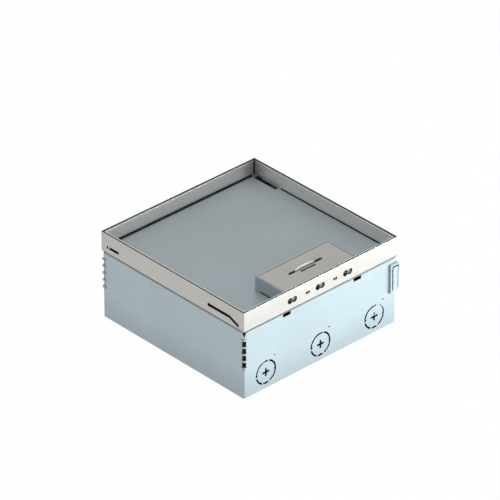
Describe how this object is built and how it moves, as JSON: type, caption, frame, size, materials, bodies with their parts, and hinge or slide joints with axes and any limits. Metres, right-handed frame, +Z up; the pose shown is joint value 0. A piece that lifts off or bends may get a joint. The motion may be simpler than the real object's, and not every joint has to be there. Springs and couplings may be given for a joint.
{
  "type": "floor socket box",
  "caption": "Square under-floor socket box with a height-adjustable steel frame, a recessed lift-up cover for floor covering, a rocking cord-outlet flap and a socket insert.",
  "frame": {"origin": "middle of the base plate's underside, at the centre of the four fixing holes", "axes": "+Z up out of the floor, -Y towards the knock-outs and the cord outlet, +X to the right seen from there"},
  "size_m": [0.2013, 0.2013, 0.0974],
  "materials": {
    "galvanised_sheet": "zinc-plated sheet steel, satin, fine rolled grain",
    "stainless_sheet": "stainless sheet, brushed along its length",
    "zinc_hardware": "bright zinc-plated screws, nuts and clips",
    "seal_rubber": "soft black EPDM strip",
    "socket_plastic": "white thermoplastic, satin gloss",
    "housing_plastic": "black glass-filled plastic",
    "saddle_plastic": "grey polyamide",
    "contact_brass": "spring brass, bright"
  },
  "bodies": {
    "box": {"wall_band": "galvanised_sheet", "base_plate": "galvanised_sheet", "corner_brackets": "galvanised_sheet", "corner_nuts": "zinc_hardware", "socket_carrier": "galvanised_sheet", "carrier_screws": "zinc_hardware", "carrier_divider": "galvanised_sheet", "socket_cover_left": "socket_plastic", "socket_cover_middle": "socket_plastic", "socket_body_left": "housing_plastic", "socket_body_middle": "housing_plastic", "earth_clips_left": "contact_brass", "earth_clips_middle": "contact_brass", "socket_screws": "zinc_hardware", "data_cover": "socket_plastic", "data_jacks": "housing_plastic", "clamp_rail": "galvanised_sheet", "clamp_saddles": "saddle_plastic", "clamp_screws": "zinc_hardware", "earth_stud": "zinc_hardware", "earth_washer": "zinc_hardware", "earth_nut": "zinc_hardware"},
    "frame": {"outer_frame": "stainless_sheet", "frame_sides": "stainless_sheet", "support_ring": "galvanised_sheet", "ring_back": "galvanised_sheet", "ring_ends": "galvanised_sheet", "ring_skirt": "galvanised_sheet", "corner_lugs": "galvanised_sheet", "ledge_seal": "seal_rubber"},
    "cover_pins": {"hinge_pins": "zinc_hardware"},
    "cover": {"tray_rim": "stainless_sheet", "tray_pan": "galvanised_sheet", "tray_ribs": "galvanised_sheet", "flap_pins": "zinc_hardware"},
    "flap": {"cord_flap": "stainless_sheet", "handle_guide": "zinc_hardware"},
    "handle": {"pull_handle": "stainless_sheet"},
    "screw_front": {"levelling_screw_front": "zinc_hardware", "retaining_clip_front": "zinc_hardware"},
    "screw_left": {"levelling_screw_left": "zinc_hardware", "retaining_clip_left": "zinc_hardware"},
    "screw_right": {"levelling_screw_right": "zinc_hardware", "retaining_clip_right": "zinc_hardware"},
    "screw_rear": {"levelling_screw_rear": "zinc_hardware", "retaining_clip_rear": "zinc_hardware"}
  },
  "joints": [
    {"name": "frame_lift", "type": "slide", "parent": "box", "child": "frame", "axis": [0, 0, 1], "range_m": [0, 0.025]},
    {"name": "pin_slide", "type": "slide", "parent": "frame", "child": "cover_pins", "axis": [0, -1, 0], "range_m": [0, 0.0132]},
    {"name": "cover_swing", "type": "hinge", "parent": "cover_pins", "child": "cover", "pos_m": [0, 0.0893, 0.0818], "axis": [-1, 0, 0], "range_deg": [0, 80]},
    {"name": "flap_rock", "type": "hinge", "parent": "cover", "child": "flap", "pos_m": [0, -0.0833, 0.0866], "axis": [-1, 0, 0], "range_deg": [0, 50]},
    {"name": "handle_pull", "type": "slide", "parent": "flap", "child": "handle", "axis": [0, 0, 1], "range_m": [0, 0.012]},
    {"name": "screw_turn_front", "type": "hinge", "parent": "frame", "child": "screw_front", "pos_m": [-0.082, -0.082, 0.068], "axis": [0, 0, 1], "range_deg": [0, 9000.5]},
    {"name": "screw_turn_left", "type": "hinge", "parent": "frame", "child": "screw_left", "pos_m": [-0.082, 0.082, 0.068], "axis": [0, 0, 1], "range_deg": [0, 9000.5]},
    {"name": "screw_turn_right", "type": "hinge", "parent": "frame", "child": "screw_right", "pos_m": [0.082, -0.082, 0.068], "axis": [0, 0, 1], "range_deg": [0, 9000.5]},
    {"name": "screw_turn_rear", "type": "hinge", "parent": "frame", "child": "screw_rear", "pos_m": [0.082, 0.082, 0.068], "axis": [0, 0, 1], "range_deg": [0, 9000.5]}
  ],
  "couplings": [
    {"joint": "pin_slide", "follows": "cover_swing", "m_per_rad": 0.0094},
    {"joint": "screw_turn_front", "follows": "frame_lift", "rad_per_m": 6283.2},
    {"joint": "screw_turn_left", "follows": "frame_lift", "rad_per_m": 6283.2},
    {"joint": "screw_turn_right", "follows": "frame_lift", "rad_per_m": 6283.2},
    {"joint": "screw_turn_rear", "follows": "frame_lift", "rad_per_m": 6283.2}
  ]
}
